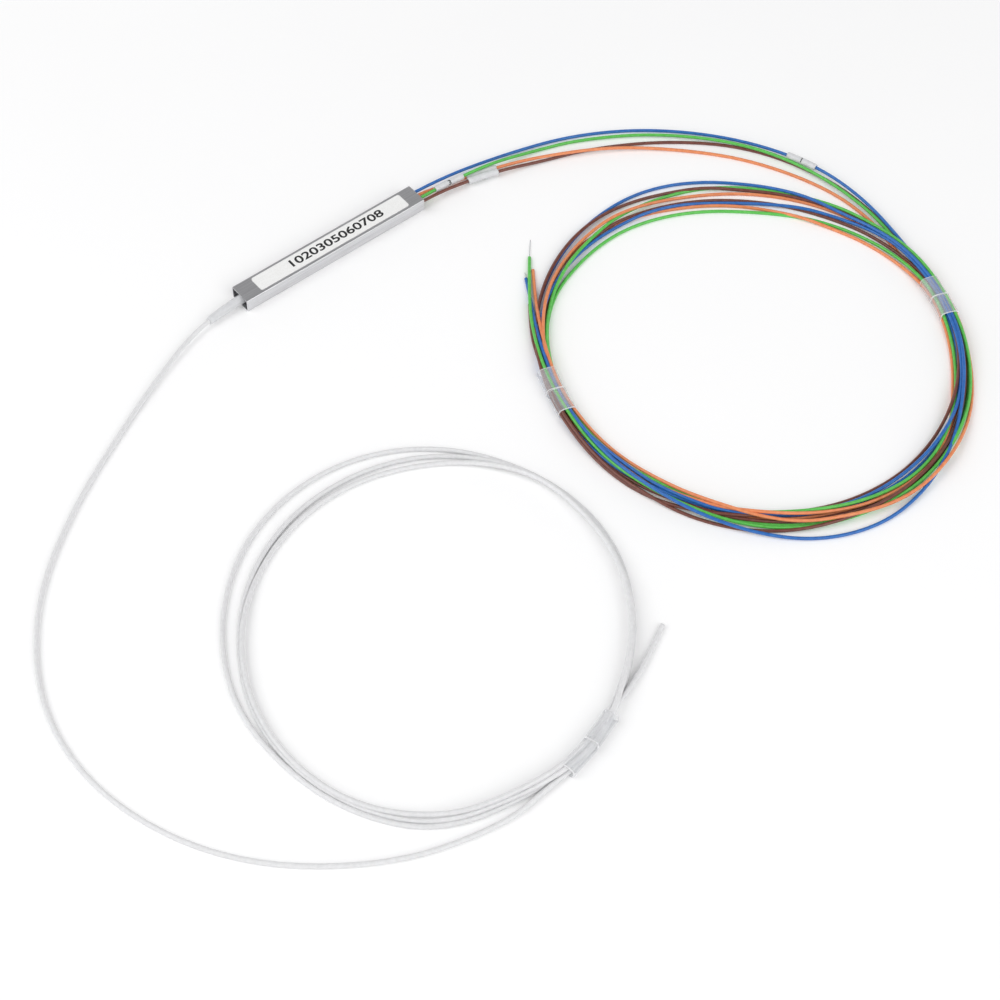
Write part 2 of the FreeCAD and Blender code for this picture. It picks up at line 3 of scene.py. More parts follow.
import bmesh
import bpy
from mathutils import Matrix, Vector


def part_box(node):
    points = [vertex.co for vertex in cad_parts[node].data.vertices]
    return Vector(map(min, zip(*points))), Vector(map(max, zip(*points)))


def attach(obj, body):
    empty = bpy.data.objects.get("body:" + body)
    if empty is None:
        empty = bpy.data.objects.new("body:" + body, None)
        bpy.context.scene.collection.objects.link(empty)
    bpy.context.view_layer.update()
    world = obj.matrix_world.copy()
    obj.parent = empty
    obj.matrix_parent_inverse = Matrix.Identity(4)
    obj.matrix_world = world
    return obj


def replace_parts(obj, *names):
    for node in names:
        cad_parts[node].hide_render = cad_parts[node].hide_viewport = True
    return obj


# 1x4 planar lightwave fibre splitter: a steel tube housing with one white input tube and four
# coloured output tubes, each side coiled and wrapped. Metres, in the frame of the CAD model:
# X runs along the housing towards the output end, Z is up and the surface below is at z = 0.

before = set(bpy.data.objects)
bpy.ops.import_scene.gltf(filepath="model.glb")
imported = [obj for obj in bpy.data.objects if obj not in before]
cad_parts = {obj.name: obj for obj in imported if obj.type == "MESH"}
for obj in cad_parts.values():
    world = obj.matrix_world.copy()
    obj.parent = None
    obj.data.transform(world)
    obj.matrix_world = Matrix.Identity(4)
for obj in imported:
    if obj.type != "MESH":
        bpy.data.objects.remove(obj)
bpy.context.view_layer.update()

MM = 0.001

# ---- Camera -------------------------------------------------------------------------------

CAMERA_AZIMUTH = math.radians(-39.0)
CAMERA_ELEVATION = math.radians(53.5)
CAMERA_DISTANCE = 0.560
CAMERA_TARGET = Vector((-0.017, -0.095, 0.0))
CAMERA_LENS = 80
CAMERA_SENSOR = 36

camera_data = bpy.data.cameras.new("camera")
camera_data.lens = CAMERA_LENS
camera_data.sensor_width = CAMERA_SENSOR
camera = bpy.data.objects.new("camera", camera_data)
bpy.context.scene.collection.objects.link(camera)
backwards = Vector((
    math.sin(CAMERA_AZIMUTH) * math.cos(CAMERA_ELEVATION),
    -math.cos(CAMERA_AZIMUTH) * math.cos(CAMERA_ELEVATION),
    math.sin(CAMERA_ELEVATION),
))
camera.location = CAMERA_TARGET + backwards * CAMERA_DISTANCE
camera.rotation_euler = (-backwards).to_track_quat("-Z", "Y").to_euler()
bpy.context.scene.camera = camera

# ---- Tubes: sizes, routes and coils -------------------------------------------------------

OUTPUT_DIAMETER = 0.0009
INPUT_DIAMETER = 0.0013
OUTPUT_LENGTH = 1.13
INPUT_LENGTH = 1.25
FIBRE_DIAMETER = 0.00025
COLOURS = {1: "blue", 2: "orange", 3: "green", 4: "brown"}

# Sizes of every tube: the input is 0, and the outputs are the ports 1 to 4.
DIAMETERS = {0: INPUT_DIAMETER, **dict.fromkeys(COLOURS, OUTPUT_DIAMETER)}
LENGTHS = {0: INPUT_LENGTH, **dict.fromkeys(COLOURS, OUTPUT_LENGTH)}

# Control points of the routes where the tubes aren't coiled, from the housing outwards.
INPUT_LEAD = [
    (-0.0233, 0, 0.002), (-0.035, 0, 0.002), (-0.0495, -0.0024, 0.00135),
    (-0.0753, -0.0147, 0.00065), (-0.1041, -0.0311, 0.00065), (-0.1269, -0.0506, 0.00065),
    (-0.1411, -0.0774, 0.00065), (-0.1415, -0.1068, 0.00065), (-0.1281, -0.1368, 0.00065),
    (-0.1012, -0.1593, 0.00065), (-0.074, -0.1676, 0.00065), (-0.059, -0.1662, 0.0011),
]
INPUT_TAIL = [(-0.0348, -0.16, 0.0019), (-0.0219, -0.1556, 0.00065), (-0.0107, -0.1494, 0.00065)]

OUTPUT_LEADS = {
    1: [
        (0.026, 0.0021, 0.002), (0.038, 0.0021, 0.002), (0.0595, -0.001, 0.0008),
        (0.081, -0.0073, 0.00045), (0.1001, -0.0195, 0.00045), (0.1155, -0.0377, 0.0012),
        (0.1247, -0.0586, 0.0022), (0.1271, -0.0778, 0.0018), (0.1229, -0.099, 0.0023),
    ],
    2: [
        (0.026, 0.0007, 0.002), (0.032, 0.0007, 0.002), (0.0386, 0.0004, 0.0005),
        (0.0455, -0.0015, 0.0009), (0.055, -0.0039, 0.001), (0.0669, -0.0089, 0.00175),
        (0.0852, -0.0182, 0.0015), (0.1011, -0.0311, 0.00045), (0.1138, -0.0469, 0.00045),
        (0.1226, -0.0676, 0.00045), (0.1239, -0.0845, 0.00045), (0.1206, -0.098, 0.00045),
    ],
    3: [
        (0.026, -0.0007, 0.002), (0.0355, -0.0007, 0.002), (0.045, -0.00175, 0.0024),
        (0.0545, -0.003, 0.00245), (0.066, -0.0046, 0.0005), (0.0813, -0.0098, 0.00045),
        (0.0998, -0.0224, 0.0011), (0.1158, -0.0412, 0.0016), (0.1238, -0.0608, 0.0014),
        (0.1254, -0.0831, 0.00145), (0.1217, -0.099, 0.00175),
    ],
    4: [
        (0.026, -0.0021, 0.002), (0.0345, -0.0021, 0.002), (0.045, -0.00355, 0.00165),
        (0.056, -0.0063, 0.0015), (0.068, -0.0101, 0.00045), (0.0815, -0.0147, 0.00045),
        (0.1005, -0.0261, 0.00045), (0.1166, -0.0422, 0.00045), (0.1254, -0.064, 0.00045),
        (0.1264, -0.0835, 0.00045), (0.1229, -0.099, 0.00045),
    ],
}
OUTPUT_TAILS = {
    1: [
        (0.0237, -0.0609, 0.0024), (0.0267, -0.0558, 0.002), (0.0301, -0.0504, 0.0008),
        (0.0354, -0.0415, 0.00045),
    ],
    2: [
        (0.0251, -0.0605, 0.0027), (0.0284, -0.0552, 0.0023), (0.0324, -0.0491, 0.0009),
        (0.0387, -0.0405, 0.00045),
    ],
    3: [(0.0236, -0.0589, 0.0023), (0.0304, -0.0488, 0.0015), (0.0411, -0.0361, 0.00045)],
    4: [(0.0203, -0.0637, 0.0016), (0.0252, -0.0558, 0.0006), (0.0301, -0.0495, 0.00045)],
}

# A coil is wound from its first angle to its last in steps. Its loose turns differ in size: each
# pair is degrees wound, clockwise from +X for the outputs, and the distance from the coil's
# centre there in millimetres. The wraps are close to 23, 200, 383, 560, 743 and 920 degrees.
COIL_STEP = 10
OUTPUT_CENTRE = Vector((0.067, -0.097, 0.0))
OUTPUT_TURNS = {
    1: [
        (2, 55.9), (21, 53.5), (50, 55.0), (90, 57.8), (130, 56.8), (170, 56.0), (202, 56.1),
        (222, 56.2), (240, 55.6), (270, 54.3), (290, 52.8), (310, 51.3), (322, 51.3), (338, 52.7),
        (360, 54.0), (381, 53.5), (400, 54.5), (425, 56.6), (455, 56.8), (480, 57.6), (505, 56.7),
        (525, 54.7), (540, 54.2), (562, 55.65), (572, 56.5), (580, 57.1), (593, 57.7), (603, 58.3),
        (612, 59.0), (623, 60.2), (645, 61.75), (670, 58.9), (690, 55.5), (700, 54.2), (710, 53.9),
        (741, 54.4), (760, 55.2), (780, 57.0), (800, 61.4), (811, 63.7), (818, 65.0), (826, 65.5),
        (833, 65.4), (844, 63.9), (851, 62.4), (858, 61.0), (865, 59.7), (875, 57.9), (885, 56.3),
        (910, 54.2), (930, 54.7), (942, 56.2),
    ],
    2: [
        (2, 53.7), (21, 52.6), (50, 55.5), (90, 58.6), (130, 57.5), (165, 55.5), (202, 54.3),
        (222, 54.5), (232, 55.5), (240, 56.6), (250, 57.0), (262, 56.4), (275, 54.7), (292, 51.9),
        (304, 50.7), (320, 49.2), (335, 48.4), (360, 50.4), (381, 52.15), (400, 52.7), (420, 54.6),
        (435, 58.4), (452, 59.7), (475, 58.4), (495, 57.0), (520, 54.8), (562, 54.75), (580, 55.0),
        (600, 56.4), (625, 57.1), (660, 55.3), (700, 54.9), (741, 55.75), (760, 56.8), (780, 59.8),
        (808, 62.6), (825, 61.7), (838, 60.4), (848, 58.8), (858, 56.8), (868, 54.8), (888, 52.5),
        (922, 53.4), (935, 54.4), (946, 56.6),
    ],
    3: [
        (2, 54.7), (21, 54.4), (50, 57.5), (90, 61.0), (110, 60.5), (130, 59.3), (165, 55.2),
        (202, 53.4), (235, 54.4), (250, 53.2), (270, 52.2), (290, 50.0), (313, 48.0), (335, 49.5),
        (360, 51.8), (381, 52.6), (390, 52.8), (400, 53.3), (410, 54.0), (420, 55.3), (432, 57.2),
        (446, 58.9), (456, 58.4), (465, 58.1), (473, 57.7), (480, 57.1), (488, 56.5), (498, 55.2),
        (510, 54.4), (540, 53.5), (562, 53.85), (590, 54.5), (620, 55.5), (640, 57.0), (660, 57.9),
        (680, 56.8), (700, 55.6), (741, 55.3), (760, 56.5), (780, 59.0), (810, 61.1), (840, 60.9),
        (860, 59.2), (880, 56.9), (905, 55.1), (922, 55.2), (939, 56.9),
    ],
    4: [
        (2, 55.9), (21, 55.3), (50, 56.6), (70, 58.5), (92, 60.1), (115, 59.0), (130, 58.6),
        (165, 56.5), (202, 55.2), (245, 55.7), (270, 55.4), (290, 54.0), (310, 52.3), (322, 51.9),
        (336, 51.8), (350, 52.8), (381, 53.95), (415, 54.8), (450, 55.7), (478, 56.3), (500, 58.2),
        (515, 58.5), (540, 57.2), (562, 56.55), (580, 57.05), (589, 57.3), (610, 59.0), (632, 60.1),
        (650, 58.6), (670, 56.4), (690, 55.3), (741, 54.85), (760, 55.8), (780, 57.5), (800, 59.4),
        (822, 61.1), (840, 61.7), (860, 60.6), (880, 58.3), (900, 56.8), (922, 56.1), (934, 56.6),
    ],
}
OUTPUT_COIL_ENDS = {1: 930, 2: 930, 3: 930, 4: 920}

# The order in which the stretches of the output coil came to lie: port, first and last degree.
OUTPUT_LAYING = [
    *((port, 10, 280) for port in (2, 3, 4, 1)),
    *((port, 290, 350) for port in (3, 2, 4, 1)),
    (2, 360, 400), (4, 360, 400), (2, 720, 790), (4, 720, 790), (1, 360, 400), (3, 360, 400),
    *((port, 410, 450) for port in (2, 3, 4, 1)),
    *((port, 460, 500) for port in (4, 1, 2, 3)),
    *((port, 510, 550) for port in (2, 3, 4, 1)),
    *((port, 560, 640) for port in (3, 2, 1, 4)),
    *((port, 650, 690) for port in (3, 2, 4, 1)),
    *((port, 700, 710) for port in (2, 4, 1, 3)),
    (1, 720, 790), (3, 720, 790),
    *((port, 800, 930) for port in (3, 4, 1, 2)),
]

# The input tube is wound anticlockwise from +X, with its wrap at 278.5, 638.5, 998.5 and 1358.5.
INPUT_CENTRE = Vector((-0.0533, -0.1133, 0.0))
INPUT_TURNS = [
    (264, 53.2), (278.5, 51.9), (300, 49.4), (330, 49.1), (345, 49.9), (360, 50.5), (390, 51.4),
    (405, 52.5), (430, 53.3), (450, 52.8), (470, 51.8), (490, 50.6), (510, 50.3), (530, 50.9),
    (550, 51.65), (570, 53.85), (590, 55.85), (600, 55.15), (610, 53.4), (620, 52.4), (638.5, 50.6),
    (660, 48.7), (690, 48.4), (720, 49.6), (745, 50.4), (765, 50.65), (780, 49.85), (795, 48.6),
    (810, 47.55), (840, 46.15), (870, 46.35), (890, 48.15), (910, 50.3), (930, 52.65), (950, 54.5),
    (960, 54.2), (970, 52.6), (998.5, 51.9), (1020, 49.2), (1050, 48.4), (1080, 48.65), (1100, 49.6),
    (1125, 48.45), (1140, 47.15), (1170, 45.45), (1200, 44.65), (1230, 45.65), (1250, 47.45),
    (1270, 49.85), (1290, 52.6), (1310, 53.15), (1320, 53.35), (1330, 52.15), (1358.5, 50.6),
    (1372, 50.2),
]
INPUT_COIL_START = 270
INPUT_COIL_END = 1360

# Wraps: the coil's centre, angle round it in degrees anticlockwise from +X, distance of the wrap's
# middle from the centre, its turn against the coil there, outer width and height, and length.
# Strands lie on the wrap's wall within the lift span of its middle, in degrees, and come down to
# the surface over the ramp span beyond that.
WRAP_WALL = 0.00035
WRAP_LIFT_SPAN = 9
WRAP_RAMP_SPAN = 12
WRAPS = {
    "output_band_right": {
        "centre": OUTPUT_CENTRE, "angle": -23.0, "distance": 0.0538, "skew": 1.5,
        "width": 0.0052, "height": 0.0036, "length": 0.0134,
    },
    "output_band_left": {
        "centre": OUTPUT_CENTRE, "angle": 159.9, "distance": 0.0549, "skew": 1.0,
        "width": 0.00515, "height": 0.0036, "length": 0.0148,
    },
    "input_band": {
        "centre": INPUT_CENTRE, "angle": -81.5, "distance": 0.0513, "skew": 6.0,
        "width": 0.00415, "height": 0.0035, "length": 0.0185,
    },
}

# One tube resting on another climbs and falls by this much of its run.
LAY_SLOPE = 0.085

SPLINE_RESOLUTION = 7
BEVEL_RESOLUTION = 5


def radius_at(turns, angle):
    """Distance from the coil's centre at an angle, on a smooth line through the turns' pairs."""
    last = len(turns) - 1
    i = next(k for k in range(last) if angle <= turns[k + 1][0])

    def slope(k):
        before, after = turns[max(k - 1, 0)], turns[min(k + 1, last)]
        return (after[1] - before[1]) / (after[0] - before[0])

    (a0, r0), (a1, r1) = turns[i], turns[i + 1]
    span = a1 - a0
    t = (angle - a0) / span
    value = (
        (2 * t**3 - 3 * t**2 + 1) * r0 + (t**3 - 2 * t**2 + t) * span * slope(i)
        + (3 * t**2 - 2 * t**3) * r1 + (t**3 - t**2) * span * slope(i + 1)
    )
    return value * MM


def angle_apart(a, b):
    """Smallest difference between two directions, in degrees."""
    return abs((a - b + 180) % 360 - 180)


def lay_coil(laying, turns, diameter, direction, wrap_angles, wrap_height):
    """Heights of a coil's strands, each resting on the surface, a wrap or the strands under it.

    laying lists (strand, first angle, last angle) in the order that they came to lie, and turns has
    each strand's radii. Returns {strand: [(angle, radius, height), ...]}."""
    laid = {strand: {} for strand in turns}
    for strand, first, last in laying:
        for angle in range(first, last + 1, COIL_STEP):
            radius = radius_at(turns[strand], angle)
            near = min(angle_apart(direction * angle, wrap) for wrap in wrap_angles)
            inside = 1 - min(max((near - WRAP_LIFT_SPAN) / WRAP_RAMP_SPAN, 0), 1)
            height = diameter / 2 + WRAP_WALL * inside
            for other in laid:
                for there, (other_radius, other_height) in laid[other].items():
                    apart = abs(radius - other_radius)
                    if (there - angle) % 360 == 0 and apart < diameter:
                        height = max(height, other_height + math.sqrt(diameter**2 - apart**2))
            ceiling = wrap_height - WRAP_WALL - diameter / 2 + diameter * (1 - inside)
            laid[strand][angle] = [radius, min(height, ceiling)]
        limit_slope(laid[strand])
    return {strand: [(a, *places[a]) for a in sorted(places)] for strand, places in laid.items()}


def limit_slope(places):
    """Raises the neighbours of each place until no stretch climbs faster than LAY_SLOPE."""
    for angles in (sorted(places), sorted(places, reverse=True)):
        for before, after in zip(angles, angles[1:]):
            run = math.radians(abs(after - before)) * places[after][0]
            if abs(after - before) == COIL_STEP:
                places[after][1] = max(places[after][1], places[before][1] - LAY_SLOPE * run)


def coil_points(centre, direction, places):
    """Control points of a coil's turns. A spline cuts inside them, so they stand a little outside."""
    outward = 1 / math.cos(math.radians(COIL_STEP / 2))
    points = []
    for angle, radius, height in places:
        turned = math.radians(direction * angle)
        reach = radius * outward
        x = centre.x + reach * math.cos(turned)
        y = centre.y + reach * math.sin(turned)
        points.append((x, y, height))
    return points


def route_object(name, points):
    """A smooth line with the route's points as its control points, still without thickness."""
    curve = bpy.data.curves.new(name, "CURVE")
    curve.dimensions = "3D"
    curve.resolution_u = SPLINE_RESOLUTION
    spline = curve.splines.new("NURBS")
    spline.points.add(len(points) - 1)
    for point, place in zip(spline.points, points):
        point.co = (*place, 1.0)
    spline.order_u = 3
    spline.use_endpoint_u = True
    made = bpy.data.objects.new(name, curve)
    bpy.context.scene.collection.objects.link(made)
    return made


def evaluated_mesh(shape):
    """A new mesh of an object as it shows."""
    bpy.context.view_layer.update()
    graph = bpy.context.evaluated_depsgraph_get()
    return bpy.data.meshes.new_from_object(shape.evaluated_get(graph))


def line_of(route):
    """Points along a route's own smooth line, read before it gets its thickness."""
    mesh = evaluated_mesh(route)
    line = [vertex.co.copy() for vertex in mesh.vertices]
    bpy.data.meshes.remove(mesh)
    return line


def thicken(route, diameter):
    """Gives a route its round section."""
    route.data.bevel_depth = diameter / 2
    route.data.bevel_resolution = BEVEL_RESOLUTION
    route.data.use_fill_caps = True


# Ways of winding, seen from above
CLOCKWISE = -1
ANTICLOCKWISE = 1

output_laying = [
    (port, first, min(last, OUTPUT_COIL_ENDS[port])) for port, first, last in OUTPUT_LAYING
]
output_places = lay_coil(
    output_laying, OUTPUT_TURNS, OUTPUT_DIAMETER, CLOCKWISE,
    [WRAPS["output_band_right"]["angle"], WRAPS["output_band_left"]["angle"]],
    WRAPS["output_band_left"]["height"],
)
input_places = lay_coil(
    [(0, INPUT_COIL_START, INPUT_COIL_END)], {0: INPUT_TURNS}, INPUT_DIAMETER, ANTICLOCKWISE,
    [WRAPS["input_band"]["angle"]], WRAPS["input_band"]["height"],
)

tubes = {}
lines = {}
for port in COLOURS:
    points = (
        OUTPUT_LEADS[port]
        + coil_points(OUTPUT_CENTRE, CLOCKWISE, output_places[port])
        + OUTPUT_TAILS[port]
    )
    tubes[port] = route_object(f"output_{port}_tube", points)
tubes[0] = route_object(
    "input_tube",
    INPUT_LEAD + coil_points(INPUT_CENTRE, ANTICLOCKWISE, input_places[0]) + INPUT_TAIL,
)
for port, tube in tubes.items():
    lines[port] = line_of(tube)
    thicken(tube, DIAMETERS[port])

# ---- Materials ----------------------------------------------------------------------------


def srgb(red, green, blue):
    """A colour as it looks on a screen, 0 to 255, as the linear values that shaders use."""
    return tuple(
        c / 255 / 12.92 if c <= 10 else ((c / 255 + 0.055) / 1.055) ** 2.4 for c in (red, green, blue)
    )


GRAIN_DETAIL = 4.0
GRAIN_DARK_BELOW = 0.3
GRAIN_LIGHT_ABOVE = 0.7
BUMP_STRENGTH = 0.6


def surface(name, dark, light, scale, roughness, bump, **sockets):
    """A material mottled between two colours, with its roughness and bump from the same grain.

    scale is the grain's count per metre along X, Y and Z. Other sockets are set by name."""
    made = bpy.data.materials.new(name)
    made.use_nodes = True
    nodes = made.node_tree.nodes
    links = made.node_tree.links
    shader = nodes["Principled BSDF"]
    place = nodes.new("ShaderNodeTexCoord")
    mapping = nodes.new("ShaderNodeMapping")
    mapping.inputs["Scale"].default_value = scale
    links.new(place.outputs["Object"], mapping.inputs["Vector"])
    grain = nodes.new("ShaderNodeTexNoise")
    grain.inputs["Scale"].default_value = 1.0
    grain.inputs["Detail"].default_value = GRAIN_DETAIL
    links.new(mapping.outputs["Vector"], grain.inputs["Vector"])
    ramp = nodes.new("ShaderNodeValToRGB")
    ramp.color_ramp.elements[0].position = GRAIN_DARK_BELOW
    ramp.color_ramp.elements[0].color = (*dark, 1)
    ramp.color_ramp.elements[1].position = GRAIN_LIGHT_ABOVE
    ramp.color_ramp.elements[1].color = (*light, 1)
    links.new(grain.outputs["Fac"], ramp.inputs["Fac"])
    links.new(ramp.outputs["Color"], shader.inputs["Base Color"])
    spread = nodes.new("ShaderNodeMapRange")
    spread.inputs["To Min"].default_value = roughness[0]
    spread.inputs["To Max"].default_value = roughness[1]
    links.new(grain.outputs["Fac"], spread.inputs["Value"])
    links.new(spread.outputs["Result"], shader.inputs["Roughness"])
    relief = nodes.new("ShaderNodeBump")
    relief.inputs["Strength"].default_value = BUMP_STRENGTH
    relief.inputs["Distance"].default_value = bump
    links.new(grain.outputs["Fac"], relief.inputs["Height"])
    links.new(relief.outputs["Normal"], shader.inputs["Normal"])
    for socket, value in sockets.items():
        shader.inputs[socket.replace("_", " ")].default_value = value
    return made


def tube_surface(name, dark, light):
    """Thermoplastic buffer tube: smooth, slightly waxy, with faint mottling."""
    return surface(
        name, dark, light, (900, 900, 900), (0.28, 0.42), 0.00001, Specular_IOR_Level=0.5,
    )


materials = {
    "housing_steel": surface(
        "brushed_steel", srgb(200, 200, 202), srgb(232, 232, 234), (60, 9000, 9000), (0.22, 0.42),
        0.000006, Metallic=1.0,
    ),
    "label_paper": surface(
        "label_paper", srgb(240, 240, 238), srgb(250, 250, 249), (2500, 2500, 2500), (0.45, 0.6),
        0.000005,
    ),
    "chip_silicon": surface(
        "chip_silica", srgb(196, 206, 204), srgb(214, 222, 220), (400, 400, 400), (0.05, 0.12),
        0.000001, Transmission_Weight=0.6, IOR=1.46,
    ),
    "array_glass": surface(
        "array_glass", srgb(222, 230, 228), srgb(236, 242, 240), (400, 400, 400), (0.04, 0.1),
        0.000001, Transmission_Weight=0.8, IOR=1.5,
    ),
    "fibre_coating": surface(
        "fibre_coating", srgb(222, 224, 226), srgb(238, 240, 241), (3000, 3000, 3000), (0.15, 0.3),
        0.000002, Transmission_Weight=0.3,
    ),
    "potting_resin": surface(
        "potting_resin", srgb(26, 26, 28), srgb(44, 44, 46), (700, 700, 700), (0.15, 0.4), 0.00003,
    ),
    "silicone": surface(
        "silicone", srgb(222, 222, 218), srgb(236, 236, 232), (500, 500, 500), (0.35, 0.55),
        0.00001, Subsurface_Weight=0.2,
    ),
    "clear_wrap": surface(
        "clear_wrap", srgb(226, 228, 232), srgb(244, 245, 247), (500, 500, 700), (0.25, 0.5),
        0.000003, Alpha=0.22,
    ),
    # Rims of the wraps, whiter and less clear than the film: partly the film seen edge-on, partly
    # painted highlight.
    "wrap_rim_highlight": surface(
        "wrap_rim_highlight", srgb(240, 241, 243), srgb(250, 250, 251), (500, 500, 700), (0.3, 0.5),
        0.000003, Alpha=0.7,
    ),
    "sleeve_white": surface(
        "sleeve_white", srgb(226, 227, 229), srgb(237, 238, 240), (700, 700, 700), (0.25, 0.4),
        0.00001, Alpha=0.8,
    ),
    "tube_white": tube_surface("tube_white", srgb(222, 222, 223), srgb(231, 231, 232)),
    "tube_blue": tube_surface("tube_blue", srgb(36, 98, 176), srgb(50, 116, 192)),
    "tube_orange": tube_surface("tube_orange", srgb(226, 132, 84), srgb(238, 150, 102)),
    "tube_green": tube_surface("tube_green", srgb(84, 186, 74), srgb(102, 202, 92)),
    "tube_brown": tube_surface("tube_brown", srgb(106, 58, 48), srgb(124, 74, 62)),
}
print_ink = surface(
    "print_ink", srgb(18, 18, 20), srgb(34, 34, 36), (3000, 3000, 3000), (0.5, 0.7), 0.000002,
)
# Dark grey for the bore of a cut tube end and the fibre in it: painted shade of the hollow, not a
# colour of the tube or the fibre.
bore_painted_shade = surface(
    "bore_painted_shade", srgb(50, 50, 52), srgb(70, 70, 72), (3000, 3000, 3000), (0.5, 0.8), 0.000002,
)

SLOTS = {
    "housing_tube": "housing_steel", "label": "label_paper", "chip_bed": "silicone",
    "waveguide_chip": "chip_silicon", "chip_lid_input": "array_glass",
    "chip_lid_output": "array_glass", "input_array_base": "array_glass",
    "input_array_lid": "array_glass",
    "output_array_base": "array_glass", "output_array_lid": "array_glass",
    "input_fibre": "fibre_coating", "ribbon_matrix": "fibre_coating", "input_plug": "potting_resin",
    "output_plug": "potting_resin", **{f"output_fibre_{port}": "fibre_coating" for port in COLOURS},
}
for node, slot_name in SLOTS.items():
    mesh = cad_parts[node].data
    mesh.materials.clear()
    mesh.materials.append(materials[slot_name])


def piece(made, slot_name, material=None):
    """Gives a piece its material, its slot and the body it rides on."""
    made.data.materials.clear()
    made.data.materials.append(material or materials[slot_name])
    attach(made, "root")
    return made


def mesh_piece(name, vertices, faces, slot_name, material=None, smooth=True):
    """A piece made of corners and faces, with its faces turned outwards."""
    mesh = bpy.data.meshes.new(name)
    mesh.from_pydata(vertices, [], faces)
    shape = bmesh.new()
    shape.from_mesh(mesh)
    bmesh.ops.recalc_face_normals(shape, faces=shape.faces)
    shape.to_mesh(mesh)
    shape.free()
    if smooth:
        mesh.polygons.foreach_set("use_smooth", [True] * len(mesh.polygons))
    made = bpy.data.objects.new(name, mesh)
    bpy.context.scene.collection.objects.link(made)
    return piece(made, slot_name, material)


# ---- Pieces along a tube ------------------------------------------------------------------


def stations(line, start, length, count):
    """(middle, along, side, up) at even distances along a line, from start for a length."""
    slack = 1e-9
    wanted = [start + length * k / (count - 1) for k in range(count)]
    found = []
    walked = 0.0
    for before, after in zip(line, line[1:]):
        step = (after - before).length
        while len(found) < count and wanted[len(found)] <= walked + step + slack:
            along = (after - before).normalized()
            middle = before.lerp(after, (wanted[len(found)] - walked) / step)
            side = along.cross(Vector((0, 0, 1))).normalized()
            found.append((middle, along, side, side.cross(along)))
        walked += step
    return found


def ring(station, radius, segments):
    """Corners of a circle round a line at a station."""
    middle, _, side, up = station
    turns = [2 * math.pi * k / segments for k in range(segments)]
    return [middle + side * (radius * math.cos(t)) + up * (radius * math.sin(t)) for t in turns]


def ring_faces(rows, segments):
    """Faces between rows of corners, each row joined to the next and the last to the first."""
    faces = []
    for row in range(rows):
        low, high = row * segments, (row + 1) % rows * segments
        for k in range(segments):
            nearby = (k + 1) % segments
            faces.append((low + k, low + nearby, high + nearby, high + k))
    return faces


def line_length(line):
    """Length of a line of points."""
    return sum((after - before).length for before, after in zip(line, line[1:]))


def lathe_along(name, sections, slot_name, material=None, segments=32):
    """A closed surface through (station, radius) sections, such as a sleeve's outside and inside."""
    vertices = []
    for station, radius in sections:
        vertices += ring(station, radius, segments)
    return mesh_piece(name, vertices, ring_faces(len(sections), segments), slot_name, material)


SLEEVE_STATIONS = 25
SLEEVE_RIM = 0.08

# Ripples of a sleeve's wall: share of its radius, step from station to station, and start
SLEEVE_RIPPLES = ((0.012, 1.7, 0), (0.01, 0.9, 1))


def sleeve(name, line, start, length, diameter, wall, taper=0.0):
    """A soft sleeve on a tube, with rounded rims and a slightly uneven wall, narrower at its end by
    the share taper."""
    last = SLEEVE_STATIONS - 1
    outside = []
    for k, station in enumerate(stations(line, start, length, SLEEVE_STATIONS)):
        uneven = sum(share * math.sin(step * k + first) for share, step, first in SLEEVE_RIPPLES)
        rim = SLEEVE_RIM if k in (0, last) else 0
        size = 1 + uneven - rim - taper * (k / last) ** 2
        outside.append((station, diameter / 2 * size))
    inside = [(station, radius - wall) for station, radius in reversed(outside)]
    return lathe_along(name, outside + inside, "sleeve_white")


CUT_END_GRIP = 0.0006
CUT_END_LIP = 0.0003
CUT_END_SEGMENTS = 20

# Sections of a cut end: place along its lip, 0 at the tube's last point, and size against the
# tube's radius. The wall starts and ends at the back of the grip, with its inner and outer sizes.
CUT_WALL = ((0, 1.01), (1, 0.97), (1, 0.56), (0.1, 0.56))
CUT_WALL_BACK = (0.5, 1.01)
# The core is a disc that closes the bore and a stub of fibre standing in it, both drawn dark grey as
# painted shade.
CUT_CORE = ((0.05, 0.58), (0.12, 0.58), (0.12, 0.3), (0.9, 0.28), (0.9, 0.01), (0.05, 0.01))


def cut_end(name, line, diameter, slot_name):
    """The cut end of a tube: its wall, and the bore and the fibre in it, which are drawn dark grey as
    painted shade of the hollow.
    """
    back, face = stations(line, line_length(line) - CUT_END_GRIP, CUT_END_GRIP, 2)
    radius = diameter / 2

    def lip_sections(places):
        return [
            ((face[0] + face[1] * (CUT_END_LIP * place), *face[1:]), radius * size)
            for place, size in places
        ]

    inner, outer = CUT_WALL_BACK
    rim = [(back, radius * outer), *lip_sections(CUT_WALL), (back, radius * inner)]
    wall = lathe_along(name, rim, slot_name, segments=CUT_END_SEGMENTS)
    # The bore's disc and fibre stub take the dark grey painted shade.
    fibre = lathe_along(
        f"{name}_bore", lip_sections(CUT_CORE), slot_name, bore_painted_shade, segments=CUT_END_SEGMENTS
    )
    return [wall, fibre]


def text_mesh(body, height, weight):
    """A line of figures as a flat mesh, centred. Its strokes are thickened by weight, a share of
    the font size, unless it has a 4 in it, which would fill in."""
    font = bpy.data.curves.new("figures", "FONT")
    font.body = body
    font.size = 1.0
    font.offset = 0 if "4" in body else weight
    font.align_x = "CENTER"
    font.align_y = "CENTER"
    holder = bpy.data.objects.new("figures", font)
    bpy.context.scene.collection.objects.link(holder)
    mesh = evaluated_mesh(holder)
    bpy.data.objects.remove(holder)
    tall = max(v.co.y for v in mesh.vertices) - min(v.co.y for v in mesh.vertices)
    for vertex in mesh.vertices:
        vertex.co *= height / tall
    return mesh


FIGURE_HEIGHT = 0.0015
FIGURE_WEIGHT = 0.025
FIGURE_LIFT = 1.035


